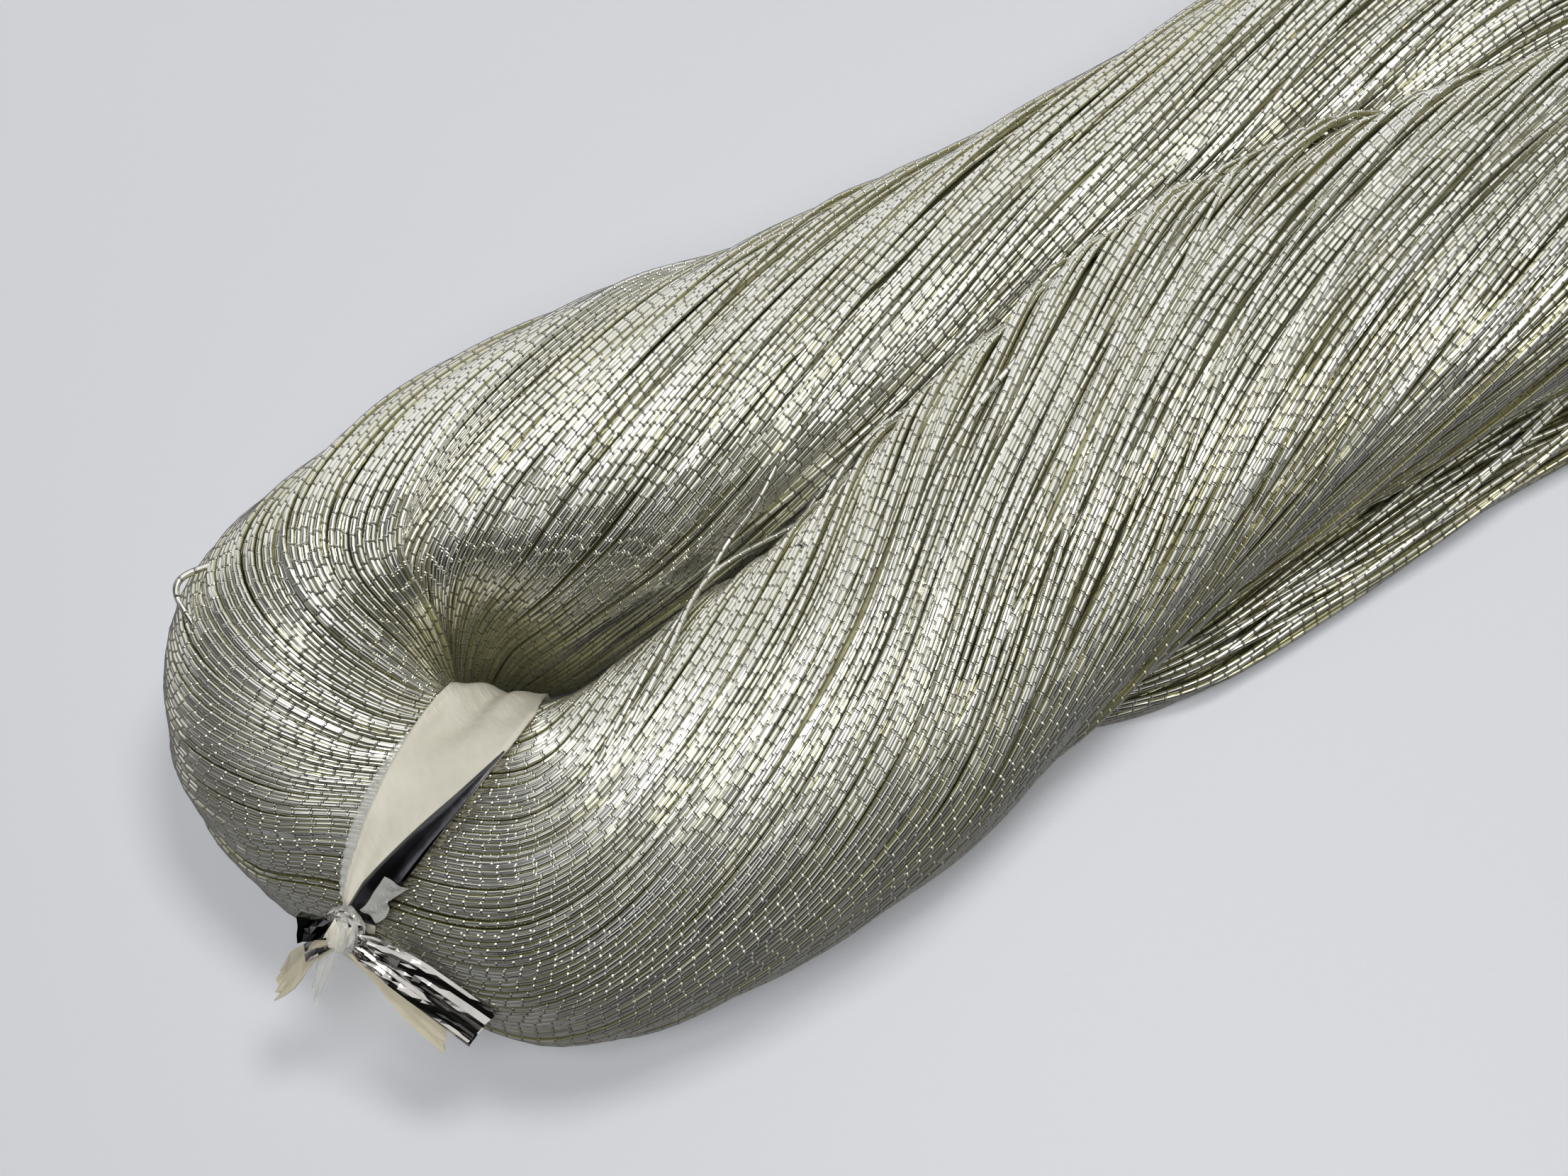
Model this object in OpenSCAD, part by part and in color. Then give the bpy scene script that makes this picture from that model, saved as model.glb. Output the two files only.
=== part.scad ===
// Thread hank: foil-wrapped metallic thread laid up as a long closed loop,
// pinched at one end by a knotted strip of foil-backed paper.
// X runs along the hank from the tied end, Y from the front arm to the back
// arm, Z up from the surface it rests on.  The loop is drawn with the small eye
// of its tied end over x = 0, y = 0, and then moved to bring the middle of the
// whole part over the origin.

/* [Hank] */
// Overall length of the loop, from the tied end to the far end
hank_length = 256; // [200:1:320]
// Overall width of the two arms side by side
hank_width = 44; // [38:0.5:52]
// Height of the arms above the resting surface
arm_height = 20; // [18:0.5:24]
// Free space between neighbouring locks
lock_gap = 0.3; // [0.2:0.05:0.5]
// Diameter of the single thread
thread_d = 0.45; // [0.3:0.05:0.6]

/* [Tie] */
// Width of the paper band where it enters the eye
band_w = 6.5; // [4:0.25:7]
// Width of the band where it is gathered into the knot
band_gathered_w = 1.8; // [1.2:0.1:2.6]
// Thickness of the folded paper band
band_t = 0.3; // [0.2:0.05:0.4]
// Diameter of the crumpled knot
knot_d = 2.6; // [2.2:0.1:3]

/* [Tails] */
// Length of the long tail of the strip
long_tail_l = 7.8; // [6:0.2:10]
// Width of the long tail
long_tail_w = 2.4; // [2:0.1:3.2]
// Length of the short tail of the strip
short_tail_l = 3; // [2.4:0.2:4]
// Thickness of each layer in the tails
layer_t = 0.25; // [0.15:0.05:0.35]

/* [Hidden] */

// The loop is drawn at one size and scaled from there.  The tied end keeps its length.
drawn_length = 256;
drawn_width = 44;
drawn_height = 20;
tied_end_length = 36;
along = (hank_length - tied_end_length) / (drawn_length - tied_end_length);
across = hank_width / drawn_width;
tall = arm_height / drawn_height;
outer_locks = 9;
core_locks = 3;
turns = 3;
arm_clearance = 0.5;
rib_steps = 4;
ring_split = 0.57;
ring_gap = 0.05;
skin_r = 9.5;
seam_angle = 184;
free_clip = 1.6;
press_height = 10;
section_corner = 2.3;
press_corner = 7;
tiny = 0.000001;
thread_colour = [0.80, 0.80, 0.72];
shade_colour = [0.66, 0.66, 0.54];
paper_colour = [0.85, 0.82, 0.70];
foil_colour = [0.75, 0.76, 0.78];
film_colour = [0.90, 0.92, 0.92];

// A rib is one cross-section of the loop, as
// [inner x, inner y, outer x, outer y, centre height, half height, twist, clip distance, lean].
// The clip is the plane where the two arms press together, and it leans with its lean angle.

// Rib in the bend of either end.  The clip is clear of the section, or cuts a slope into the eye,
// opening times the reach from the middle
function bend_rib(inner, outer, centre, half, twist, opening = free_clip, slope = 0) =
    let (reach = norm(outer - inner) / 2)
    [inner[0], inner[1], outer[0], outer[1], centre, half, twist, opening * reach, slope];

// Rib of the front arm: valley is the y of the clip plane at the press height
function front_rib(x, inner, outer, centre, half, twist, valley, lean) =
    let (middle = (inner + outer) / 2,
         clip = valley - arm_clearance / 2 - middle + (centre - press_height) * tan(lean))
    [x, inner, x, outer, centre, half, twist, clip, lean];

// Rib of the back arm
function back_rib(x, inner, outer, centre, half, twist, valley, lean) =
    let (middle = (inner + outer) / 2,
         clip = middle - valley - arm_clearance / 2 - (centre - press_height) * tan(lean))
    [x, inner, x, outer, centre, half, twist, clip, -lean];

ribs = [
    front_rib(150, 2, -15.2, 8.6, 8.8, 0, 0, 4),
    front_rib(110, 2.5, -14.4, 9.4, 9.6, -60, 0, 8),
    front_rib(80, 8, -14.2, 10.3, 10.5, -122, 1.5, 20),
    front_rib(50, 12, -14.6, 10.6, 10.8, -185, 3, 28),
    front_rib(30, 8, -18, 10, 10.3, -230, 2, 16),
    front_rib(15, 2, -21.5, 9.4, 9.8, -270, 0.5, 4),
    bend_rib([4, -0.8], [0, -21.6], 8.8, 9.2, -306),
    bend_rib([0.2, -0.6], [-11, -18], 8.4, 8, -335),
    bend_rib([-1.8, 1.2], [-18.2, -5.8], 7.8, 6.6, -355),
    bend_rib([-2.4, 2.5], [-20.8, 0.4], 8, 7.4, -378, 0.9, -10),
    bend_rib([-1.2, 3.7], [-21.2, 9], 8.5, 8.9, -405, 0.82, -12),
    bend_rib([1.4, 2.9], [-16, 17.3], 9.3, 9.9, -435, 0.82, -12),
    bend_rib([5.2, 0.5], [-3, 21.2], 9.8, 10.4, -462, 0.85, -10),
    back_rib(14, 0.6, 22, 9.9, 10.4, -490, 0.5, 4),
    back_rib(30, 1.5, 21.5, 9.4, 9.8, -528, 2, 16),
    back_rib(50, 2, 21.5, 9.2, 9.6, -572, 3, 28),
    back_rib(80, 1, 23.2, 9.6, 10.2, -618, 1.5, 20),
    back_rib(110, -1.5, 17, 8.8, 9.2, -632, 0, 8),
    back_rib(150, -1, 15.5, 8.5, 8.8, -690, 0, 4),
    back_rib(190, -0.5, 16.5, 8.5, 8.6, -780, 0, 0),
    bend_rib([213, 2.5], [223, 15.5], 7.5, 7.8, -860),
    bend_rib([218, 0], [235, 0], 7, 7.4, -905),
    bend_rib([213, -2.5], [223, -15.5], 7.5, 7.8, -950),
    front_rib(190, 0.5, -16.5, 8.5, 8.6, -1030, 0, 0)
];
rib_count = len(ribs);
tie_rib = 8;

// Rib k of the endless loop, with the twist carried on from lap to lap
function lap_rib(k) =
    let (lap = floor(k / rib_count), r = ribs[k - lap * rib_count])
    [r[0], r[1], r[2], r[3], r[4], r[5], r[6] - 360 * turns * lap, r[7], r[8]];

// Smooth curve through four neighbouring ribs
function blend_ribs(a, b, c, d, t) =
    0.5 * (2 * b + (c - a) * t + (2 * a - 5 * b + 4 * c - d) * t * t + (3 * b - a - 3 * c + d) * t * t * t);

// Cross-section at place u round the loop, counted in ribs
function rib_at(u) =
    let (k = floor(u))
    blend_ribs(lap_rib(k - 1), lap_rib(k), lap_rib(k + 1), lap_rib(k + 2), u - k);

// Stretches the drawn plan to the chosen length, leaving the tied end as it is
function place_x(x) = x < 0 ? x * across : x * along;

// Distance from a rib's centre to the bundle's skin, at an angle up from the outward direction
function skin_radius(r, reach, angle) =
    let (c = cos(angle), s = sin(angle),
         body = pow(pow(abs(c) / reach, section_corner) + pow(abs(s) / r[5], section_corner),
                    -1 / section_corner),
         press = max((-c - s * tan(r[8])) / r[7], tiny),
         pressed = pow(pow(body, -press_corner) + pow(press, press_corner), -1 / press_corner))
    s < -tiny ? min(pressed, -r[4] / s) : pressed;

// The outer lobe of the tied end stands proud of the turns inside it, along one seam
lobe_place = 11.3;
lobe_reach = 2.4;
lobe_window_power = 3;
lobe_rise = 0.13;
lobe_rise_angle = 55;
lobe_dip = 0.07;
lobe_dip_angle = 25;
function lobe_window(u) = max(0, 1 - pow(abs(u - lobe_place) / lobe_reach, lobe_window_power));
function lobe_swell(u, material) =
    let (past = seam_angle - material)
    lobe_window(u)
        * (past > 0 ? lobe_rise * exp(-past / lobe_rise_angle) : -lobe_dip * exp(past / lobe_dip_angle));

// Point of the bundle: u round the loop, angle round the section, r from 0 at the core to 1
// at the skin, lift outward from there
function section_point(u, angle, r, lift = 0) =
    let (q = rib_at(u),
         inner = [q[0], q[1]],
         outer = [q[2], q[3]],
         span = outer - inner,
         reach = norm(span) / 2,
         out = span / (2 * reach),
         middle = (inner + outer) / 2,
         radius = skin_radius(q, reach, angle) * r + lift,
         plan = middle + out * radius * cos(angle))
    [place_x(plan[0]), plan[1] * across, (q[4] + radius * sin(angle)) * tall];

// The same for a point fixed in the twisted material
function flow_point(u, material, r) =
    section_point(u, material + rib_at(u)[6], r * (1 + lobe_swell(u, material)));

// Closed surface from a grid of points: rows of rings, closed into a loop or capped.
// From column turned on, the triangles slant the other way.
function grid_faces(rows, cols, looped, turned) = concat(
    [for (i = [0 : rows - (looped ? 1 : 2)], j = [0 : cols - 1])
        let (a = i * cols + j, b = i * cols + (j + 1) % cols,
             c = ((i + 1) % rows) * cols + (j + 1) % cols, d = ((i + 1) % rows) * cols + j)
        each (j < turned ? [[a, b, c], [a, c, d]] : [[a, b, d], [b, c, d]])],
    looped ? [] : [[for (j = [cols - 1 : -1 : 0]) j]],
    looped ? [] : [[for (j = [0 : cols - 1]) (rows - 1) * cols + j]]);

module skin(rings, looped = false, turned = 1000) {
    cols = len(rings[0]);
    polyhedron(points = [for (ring = rings) each ring], faces = grid_faces(len(rings), cols, looped, turned));
}

// Angle that half the gap between two locks takes up, at a distance from the middle
function gap_angle(radius) = lock_gap / 2 / radius * 180 / PI;

// Rounded back of an outer lock's section, as [part of the half angle, r]
lock_back = [[-1, 0.955], [-0.6, 1], [0, 1], [0.6, 1], [1, 0.955]];

// Corners of an outer lock's section, as [angle, r]: the rounded back and a flat inside
function outer_cell(k) =
    let (half = 180 / outer_locks,
         middle = seam_angle - half + 2 * half * (k - 1),
         back = half - gap_angle(skin_r),
         front = half - gap_angle(skin_r * ring_split))
    concat(
        [for (side = lock_back) [middle + side[0] * back, side[1]]],
        [for (side = [1, 0, -1]) [middle + side * front, ring_split + ring_gap]]);

// Corners of a core lock's section: a wedge from near the centre, in line with three outer locks
core_tip = 0.07;
core_back_half = 3;
function core_cell(k) =
    let (half = 180 / core_locks,
         middle = seam_angle + 2 * half * k,
         edge = half - gap_angle(skin_r * ring_split / 2))
    concat(
        [for (side = [-core_back_half : core_back_half])
            [middle + side * edge / core_back_half, ring_split - ring_gap]],
        [[middle, core_tip]]);

// Neighbouring locks get matching triangles on facing sides, so the gap stays open as they twist
module lock(cell, back_corners) {
    skin([for (i = [0 : rib_count * rib_steps - 1])
            [for (corner = cell) flow_point(i / rib_steps, corner[0], corner[1])]],
         looped = true, turned = back_corners);
}

module outer_lock(k) {
    color(k % 2 == 0 ? thread_colour : shade_colour)
    lock(outer_cell(k), len(lock_back));
}

module core_lock(k) {
    color(shade_colour)
    lock(core_cell(k), 2 * core_back_half + 1);
}

// Turns that have slipped out of the twist and run along the surface beside the front arm,
// as [x, y, radius]
side_path = [[28, -14.7, 0.7], [38, -16.5, 1.5], [49, -15.7, 2], [65, -14.4, 2.3], [80, -14.6, 2.3],
             [110, -16.4, 2.3], [150, -17, 2.3], [185, -18.2, 2.1], [206, -18.8, 1.4], [212, -18.6, 0.7]];
side_lock_step = 30;
module side_lock() {
    color(thread_colour)
    skin([for (p = side_path)
            [for (a = [0 : side_lock_step : 359])
                [place_x(p[0]), (p[1] - p[2] * sin(a)) * across, p[2] * (1 + cos(a)) * tall]]]);
}

// One turn of thread that bows out of the tied end
loop_start = 10.62;
loop_span = 0.3;
loop_angle = 39;
loop_bow = 0.9;
loop_rest = 0.5;
loop_steps = 12;
loop_round_step = 60;
function loop_point(t) =
    section_point(loop_start + loop_span * t, loop_angle, 1, loop_rest + loop_bow * sin(180 * t));
module loose_loop() {
    color(thread_colour)
    skin([for (i = [0 : loop_steps])
            let (here = loop_point(i / loop_steps),
                 ahead = loop_point((i + 1) / loop_steps),
                 behind = loop_point((i - 1) / loop_steps),
                 heading = (ahead - behind) / norm(ahead - behind),
                 side = cross(heading, [0, 0, 1]) / norm(cross(heading, [0, 0, 1])),
                 up = cross(side, heading))
            [for (a = [0 : loop_round_step : 359]) here + thread_d / 2 * (cos(a) * side + sin(a) * up)]]);
}

// Tie: the strip goes once round the pinch and meets at the knot, low on the outside.  Its parts
// are placed by angle round the tie rib, and by side, in millimetres from the tie rib.
tie_lift = 0.2;
knot_angle = 26;
knot_side = -2;
full_width_angle = 115;
widening_power = 0.85;
aside_power = 1.2;
place_step = 0.1;
tie_reach_limit = 0.9;
band_step = 9;

// 0 at the knot, rising to 1 where the band lies at its full width
function from_knot(angle) =
    let (apart = abs(angle - knot_angle))
    min(1, min(apart, 360 - apart) / full_width_angle);

// The band is gathered and drawn aside at the knot
function band_width(angle) =
    band_gathered_w + (band_w - band_gathered_w) * pow(from_knot(angle), widening_power);
function band_middle(angle) = knot_side * (1 - pow(from_knot(angle), aside_power));

// Places round the loop per millimetre of skin, at an angle of the tie rib
function places_per_mm(angle) =
    2 * place_step
        / norm(section_point(tie_rib + place_step, angle, 1) - section_point(tie_rib - place_step, angle, 1));

// Point on the pinch
function tie_point(angle, side, lift) =
    let (reach = side * places_per_mm(angle))
    section_point(tie_rib + max(-tie_reach_limit, min(tie_reach_limit, reach)), angle, 1, lift);

// Shell on the pinch between two side distances, from one angle to another
function tie_ring(angle, near_side, far_side, lift, thickness, columns = 4) = concat(
    [for (i = [0 : columns])
        tie_point(angle, near_side + (far_side - near_side) * i / columns, lift + thickness)],
    [for (i = [columns : -1 : 0]) tie_point(angle, near_side + (far_side - near_side) * i / columns, lift)]);

module paper_band() {
    color(paper_colour)
    skin([for (a = [0 : band_step : 359])
            let (middle = band_middle(a), half = band_width(a) / 2)
            tie_ring(a, middle - half, middle + half, tie_lift, band_t)],
         looped = true);
}

// Foil face of the strip, folded back over the band's edge on the front arm's side
fold_w = 1.5;
fold_tip_w = 0.15;
fold_start = 34;
fold_end = 112;
fold_taper = 75;
fold_step = 6;
fold_gap = 0.1;
fold_lift = tie_lift + band_t + fold_gap;
fold_t = 0.2;
function fold_width(angle) = fold_tip_w + (fold_w - fold_tip_w) * min(1, (fold_end - angle) / fold_taper);
module foil_fold() {
    color(foil_colour)
    skin([for (a = [fold_start : fold_step : fold_end])
            let (edge = band_middle(a) - band_width(a) / 2)
            tie_ring(a, edge, edge + fold_width(a), fold_lift, fold_t)]);
}

// Clear edge of the strip, showing past the paper on the other side
selvage_w = 0.7;
selvage_t = 0.2;
selvage_start = 32;
selvage_end = 104;
selvage_step = 8;
selvage_columns = 2;
seam_gap = 0.12;
module film_selvage() {
    color(film_colour)
    skin([for (a = [selvage_start : selvage_step : selvage_end])
            let (edge = band_middle(a) + band_width(a) / 2 + seam_gap)
            tie_ring(a, edge, edge + selvage_w, tie_lift, selvage_t, selvage_columns)]);
}

knot_gap = 0.15;
knot_crumple = 0.1;
knot_cap = 75;
knot_lat_step = 25;
knot_lon_step = 24;
knot_centre = tie_point(knot_angle, knot_side, tie_lift + band_t + knot_gap + knot_d / 2);
module knot() {
    color(paper_colour)
    translate(knot_centre)
    skin([for (lat = [-knot_cap : knot_lat_step : knot_cap])
            [for (lon = [0 : knot_lon_step : 359])
                knot_d / 2 * (1 - knot_crumple + knot_crumple * sin(3 * lon + 2 * lat) * cos(2 * lat))
                    * [cos(lat) * cos(lon), cos(lat) * sin(lon), sin(lat)]]]);
}

// Strip of paper or foil that leaves the knot: heading in the plan, drop over its length,
// and bank, the angle its left edge is raised by
function flat_side(heading) = [-sin(heading), cos(heading), 0];
function strip_side(heading, bank) = cos(bank) * flat_side(heading) + [0, 0, sin(bank)];
function strip_normal(heading, bank) = [0, 0, cos(bank)] - sin(bank) * flat_side(heading);
strip_steps = 8;
sag_power = 1.3;
function strip_point(start, heading, drop, length, t) =
    start + [cos(heading) * length * t, sin(heading) * length * t, -drop * pow(t, sag_power)];
module strip(start, heading, drop, length, width, bank = 0) {
    edge = strip_side(heading, bank) * width / 2;
    face = strip_normal(heading, bank) * layer_t / 2;
    skin([for (i = [0 : strip_steps])
            let (p = strip_point(start, heading, drop, length, i / strip_steps))
            [p + edge + face, p - edge + face, p - edge - face, p + edge - face]]);
}

// Root of a tail, where it bends beside the knot
root_gap = 0.2;
function tail_root(heading) = knot_centre + (knot_d / 2 + root_gap) * [cos(heading), sin(heading), 0];

long_heading = -62;
long_bank = 35;
long_drop = 2.7;
long_paper_turn = -3;
long_paper_aside = 0.8;
long_paper_drop = 0.6;
long_paper_gap = 0.3;
long_paper_margin = 0.4;
module long_tail_foil() {
    color(foil_colour)
    strip(tail_root(long_heading), long_heading, long_drop, long_tail_l, long_tail_w, long_bank);
}
module long_tail_paper() {
    color(paper_colour)
    strip(tail_root(long_heading)
            - long_paper_aside * strip_side(long_heading, long_bank)
            - (layer_t + long_paper_gap) * strip_normal(long_heading, long_bank),
          long_heading + long_paper_turn, long_drop + long_paper_drop, long_tail_l,
          long_tail_w - long_paper_margin, long_bank);
}

short_heading = 150;
short_drop = 3.4;
short_foil_turn = -4;
short_paper_turn = 25;
short_film_turn = 50;
short_foil_w = 1.6;
short_paper_w = 1.5;
short_film_w = 1.1;
short_foil_rise = 0.2;
short_foil_share = 0.5;
short_foil_drop = 1.1;
short_paper_below = layer_t + 0.3;
short_film_below = short_paper_below + layer_t + 0.5;
short_film_share = 0.8;
module short_tail_foil() {
    color(foil_colour)
    strip(tail_root(short_heading) + [0, 0, short_foil_rise], short_heading + short_foil_turn,
          short_foil_drop, short_tail_l * short_foil_share, short_foil_w);
}
module short_tail_paper() {
    color(paper_colour)
    strip(tail_root(short_heading) - [0, 0, short_paper_below], short_heading + short_paper_turn,
          short_drop, short_tail_l, short_paper_w);
}
module short_tail_film() {
    color(film_colour)
    strip(tail_root(short_heading) - [0, 0, short_film_below], short_heading + short_film_turn,
          short_drop, short_tail_l * short_film_share, short_film_w);
}

// Middle of the box round the whole part
near_end = -21.99;
far_end = 234.95;
loop_middle_y = 0.65;
part_middle = [(near_end * across + far_end * along) / 2, loop_middle_y * across, 0];

translate(-part_middle) {
    outer_lock(1);  // lock_1
    outer_lock(2);  // lock_2
    outer_lock(3);  // lock_3
    outer_lock(4);  // lock_4
    outer_lock(5);  // lock_5
    outer_lock(6);  // lock_6
    outer_lock(7);  // lock_7
    outer_lock(8);  // lock_8
    outer_lock(9);  // lock_9
    core_lock(1);  // core_1
    core_lock(2);  // core_2
    core_lock(3);  // core_3
    side_lock();
    loose_loop();
    paper_band();
    foil_fold();
    film_selvage();
    knot();
    long_tail_foil();
    long_tail_paper();
    short_tail_foil();
    short_tail_paper();
    short_tail_film();
}
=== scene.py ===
"""Looks of a thread hank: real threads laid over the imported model's locks, and the paper and foil tie."""

import math
from functools import partial

import bpy
import numpy as np
from mathutils import Matrix, Vector


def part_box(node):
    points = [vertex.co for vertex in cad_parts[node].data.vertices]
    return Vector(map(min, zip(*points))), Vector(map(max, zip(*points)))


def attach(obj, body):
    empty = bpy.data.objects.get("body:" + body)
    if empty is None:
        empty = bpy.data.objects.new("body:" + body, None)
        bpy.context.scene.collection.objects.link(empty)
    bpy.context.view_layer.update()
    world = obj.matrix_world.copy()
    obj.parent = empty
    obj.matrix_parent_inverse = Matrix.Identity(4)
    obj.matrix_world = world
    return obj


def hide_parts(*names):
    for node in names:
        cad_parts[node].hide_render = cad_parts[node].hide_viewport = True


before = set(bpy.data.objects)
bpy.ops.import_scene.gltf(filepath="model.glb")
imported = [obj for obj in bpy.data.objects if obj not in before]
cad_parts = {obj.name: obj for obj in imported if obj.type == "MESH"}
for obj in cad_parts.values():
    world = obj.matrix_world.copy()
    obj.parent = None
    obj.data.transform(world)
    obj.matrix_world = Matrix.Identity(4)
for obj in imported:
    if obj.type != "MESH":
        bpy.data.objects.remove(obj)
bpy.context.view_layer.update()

# Lengths are drawn in millimetres and angles in degrees. place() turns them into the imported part's metres.
MM = 0.001
THREAD_D = 0.42
THREAD_SIDES = 6
TABLE_GAP = 0.01  # left under the lowest threads
SEAM_PITCH = 1.08  # one foil turn along the thread
PHASES = 900  # random start of a thread's foil, in foil turns
LOCKS = 9
LOCK_WIDTH = 360 / LOCKS
CORES = 3
TURNS = 3
SURFACE_THREADS = 17 * LOCKS
WILD_PER_LOCK = 6
SEAM_ANGLE = 184.0  # where the proud outer lobe meets the turns inside it

# ---------------- the loop's cross-sections
# A rib is one section of the loop: inner x, y, outer x, y, centre height, half height, twist,
# distance to the plane where the arms press together, and that plane's lean.

CENTRE, HALF, TWIST, PRESS, LEAN = 4, 5, 6, 7, 8
ARM_GAP = 0.5
VALLEY_HEIGHT = 10
SECTION_POWER = 2.3
PRESS_POWER = 7
TINY = 1e-6


def bend_rib(inner, outer, centre, half, twist, opening=1.6, slope=0.0):
    """Rib in a bend, its press plane opening half-widths from its middle."""
    reach = math.dist(inner, outer) / 2
    return [*inner, *outer, centre, half, twist, opening * reach, slope]


def valley_shift(centre, lean):
    """How far a leaning press plane moves aside between the valley height and the rib's centre."""
    return (centre - VALLEY_HEIGHT) * math.tan(math.radians(lean))


def front_rib(x, inner, outer, centre, half, twist, valley, lean):
    """Rib across the front arm, pressed on the back arm at y = valley."""
    clip = valley - ARM_GAP / 2 - (inner + outer) / 2 + valley_shift(centre, lean)
    return [x, inner, x, outer, centre, half, twist, clip, lean]


def back_rib(x, inner, outer, centre, half, twist, valley, lean):
    """Rib across the back arm, pressed on the front arm at y = valley."""
    clip = (inner + outer) / 2 - valley - ARM_GAP / 2 - valley_shift(centre, lean)
    return [x, inner, x, outer, centre, half, twist, clip, -lean]


RIBS = np.array([
    front_rib(150, 2, -15.2, 8.6, 8.8, 0, 0, 4),
    front_rib(110, 2.5, -14.4, 9.4, 9.6, -60, 0, 8),
    front_rib(80, 8, -14.2, 10.3, 10.5, -122, 1.5, 20),
    front_rib(50, 12, -14.6, 10.6, 10.8, -185, 3, 28),
    front_rib(30, 8, -18, 10, 10.3, -230, 2, 16),
    front_rib(15, 2, -21.5, 9.4, 9.8, -270, 0.5, 4),
    bend_rib((4, -0.8), (0, -21.6), 8.8, 9.2, -306),
    bend_rib((0.2, -0.6), (-11, -18), 8.4, 8, -335),
    bend_rib((-1.8, 1.2), (-18.2, -5.8), 7.8, 6.6, -355),
    bend_rib((-2.4, 2.5), (-20.8, 0.4), 8, 7.4, -378, 0.9, -10),
    bend_rib((-1.2, 3.7), (-21.2, 9), 8.5, 8.9, -405, 0.82, -12),
    bend_rib((1.4, 2.9), (-16, 17.3), 9.3, 9.9, -435, 0.82, -12),
    bend_rib((5.2, 0.5), (-3, 21.2), 9.8, 10.4, -462, 0.85, -10),
    back_rib(14, 0.6, 22, 9.9, 10.4, -490, 0.5, 4),
    back_rib(30, 1.5, 21.5, 9.4, 9.8, -528, 2, 16),
    back_rib(50, 2, 21.5, 9.2, 9.6, -572, 3, 28),
    back_rib(80, 1, 23.2, 9.6, 10.2, -618, 1.5, 20),
    back_rib(110, -1.5, 17, 8.8, 9.2, -632, 0, 8),
    back_rib(150, -1, 15.5, 8.5, 8.8, -690, 0, 4),
    back_rib(190, -0.5, 16.5, 8.5, 8.6, -780, 0, 0),
    bend_rib((213, 2.5), (223, 15.5), 7.5, 7.8, -860),
    bend_rib((218, 0), (235, 0), 7, 7.4, -905),
    bend_rib((213, -2.5), (223, -15.5), 7.5, 7.8, -950),
    front_rib(190, 0.5, -16.5, 8.5, 8.6, -1030, 0, 0),
])
RIB_COUNT = len(RIBS)
TIE_RIB = 8
LOBE_PLACE, LOBE_REACH = 11.3, 2.4
LOBE_PROUD, LOBE_FADE = 0.13, 55
LOBE_DIP, DIP_FADE = 0.07, 25


def curve_between(a, b, c, d, t):
    """Catmull-Rom curve from b to c, with a before and d after them."""
    return 0.5 * (2 * b + (c - a) * t + (2 * a - 5 * b + 4 * c - d) * t**2 + (3 * b - a - 3 * c + d) * t**3)


def rib_at(u):
    """Smoothly interpolated ribs at places u round the endless loop."""
    k = np.floor(u).astype(int)

    def lap_rib(i):
        row = RIBS[i % RIB_COUNT].copy()
        row[..., TWIST] -= 360 * TURNS * (i // RIB_COUNT)
        return row

    return curve_between(*(lap_rib(k + i) for i in (-1, 0, 1, 2)), (u - k)[..., None])


def hump(x, middle, width):
    """Bell curve, 1 at its middle."""
    return np.exp(-(((x - middle) / width) ** 2))


def lobe_swell(u, material):
    """The outer lobe of the tied end stands proud of the turns inside it, along one seam."""
    window = np.maximum(0, 1 - (np.abs(u - LOBE_PLACE) / LOBE_REACH) ** 3)
    past = SEAM_ANGLE - material
    outside = LOBE_PROUD * np.exp(-np.maximum(past, 0) / LOBE_FADE)
    inside = -LOBE_DIP * np.exp(np.minimum(past, 0) / DIP_FADE)
    return window * np.where(past > 0, outside, inside)


def section_point(u, angle, r=1.0, lift=0.0):
    """Points of the bundle in millimetres, and the unit outward direction in the section."""
    u, angle, r, lift = np.broadcast_arrays(*(np.asarray(v, float) for v in (u, angle, r, lift)))
    q = rib_at(u)
    inner, outer = q[..., 0:2], q[..., 2:4]
    reach = np.linalg.norm(outer - inner, axis=-1) / 2
    out = (outer - inner) / (2 * reach[..., None])
    c, s = np.cos(np.radians(angle)), np.sin(np.radians(angle))
    body = (np.abs(c) / reach) ** SECTION_POWER + (np.abs(s) / q[..., HALF]) ** SECTION_POWER
    body = body ** (-1 / SECTION_POWER)
    press = np.maximum((-c - s * np.tan(np.radians(q[..., LEAN]))) / q[..., PRESS], TINY)
    radius = (body**-PRESS_POWER + press**PRESS_POWER) ** (-1 / PRESS_POWER)
    low = s < -TINY
    radius = np.where(low, np.minimum(radius, -q[..., CENTRE] / np.where(low, s, -1)), radius)
    radius = radius * r + lift
    plan = (inner + outer) / 2 + out * (radius * c)[..., None]
    point = np.concatenate([plan, (q[..., CENTRE] + radius * s)[..., None]], axis=-1)
    outward = np.concatenate([out * c[..., None], s[..., None]], axis=-1)
    return point, outward


def flow_point(u, material, r=1.0, lift=0.0):
    """The same for a point fixed in the twisted material."""
    angle = material + rib_at(np.asarray(u, float))[..., TWIST]
    return section_point(u, angle, r * (1 + lobe_swell(u, material)), lift)


def packed_frame():
    """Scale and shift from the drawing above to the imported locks, axis by axis."""
    samples, angle_step, slack = 4, 4.0, 0.02
    u, material = np.meshgrid(np.arange(RIB_COUNT * samples) / samples, np.arange(0, 360, angle_step))
    drawn = flow_point(u, material)[0].reshape(-1, 3)
    boxes = [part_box(f"lock_{k}") for k in range(1, LOCKS + 1)]
    low = np.min([np.array(b[0]) for b in boxes], axis=0)
    high = np.max([np.array(b[1]) for b in boxes], axis=0)
    scale = (high - low) / np.ptp(drawn, axis=0)
    scale = np.where(np.abs(scale / MM - 1) < slack, MM, scale)
    shift = (high + low) / 2 - scale * (drawn.max(0) + drawn.min(0)) / 2
    shift[2] = 0
    return scale, shift


SCALE, SHIFT = packed_frame()


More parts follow.
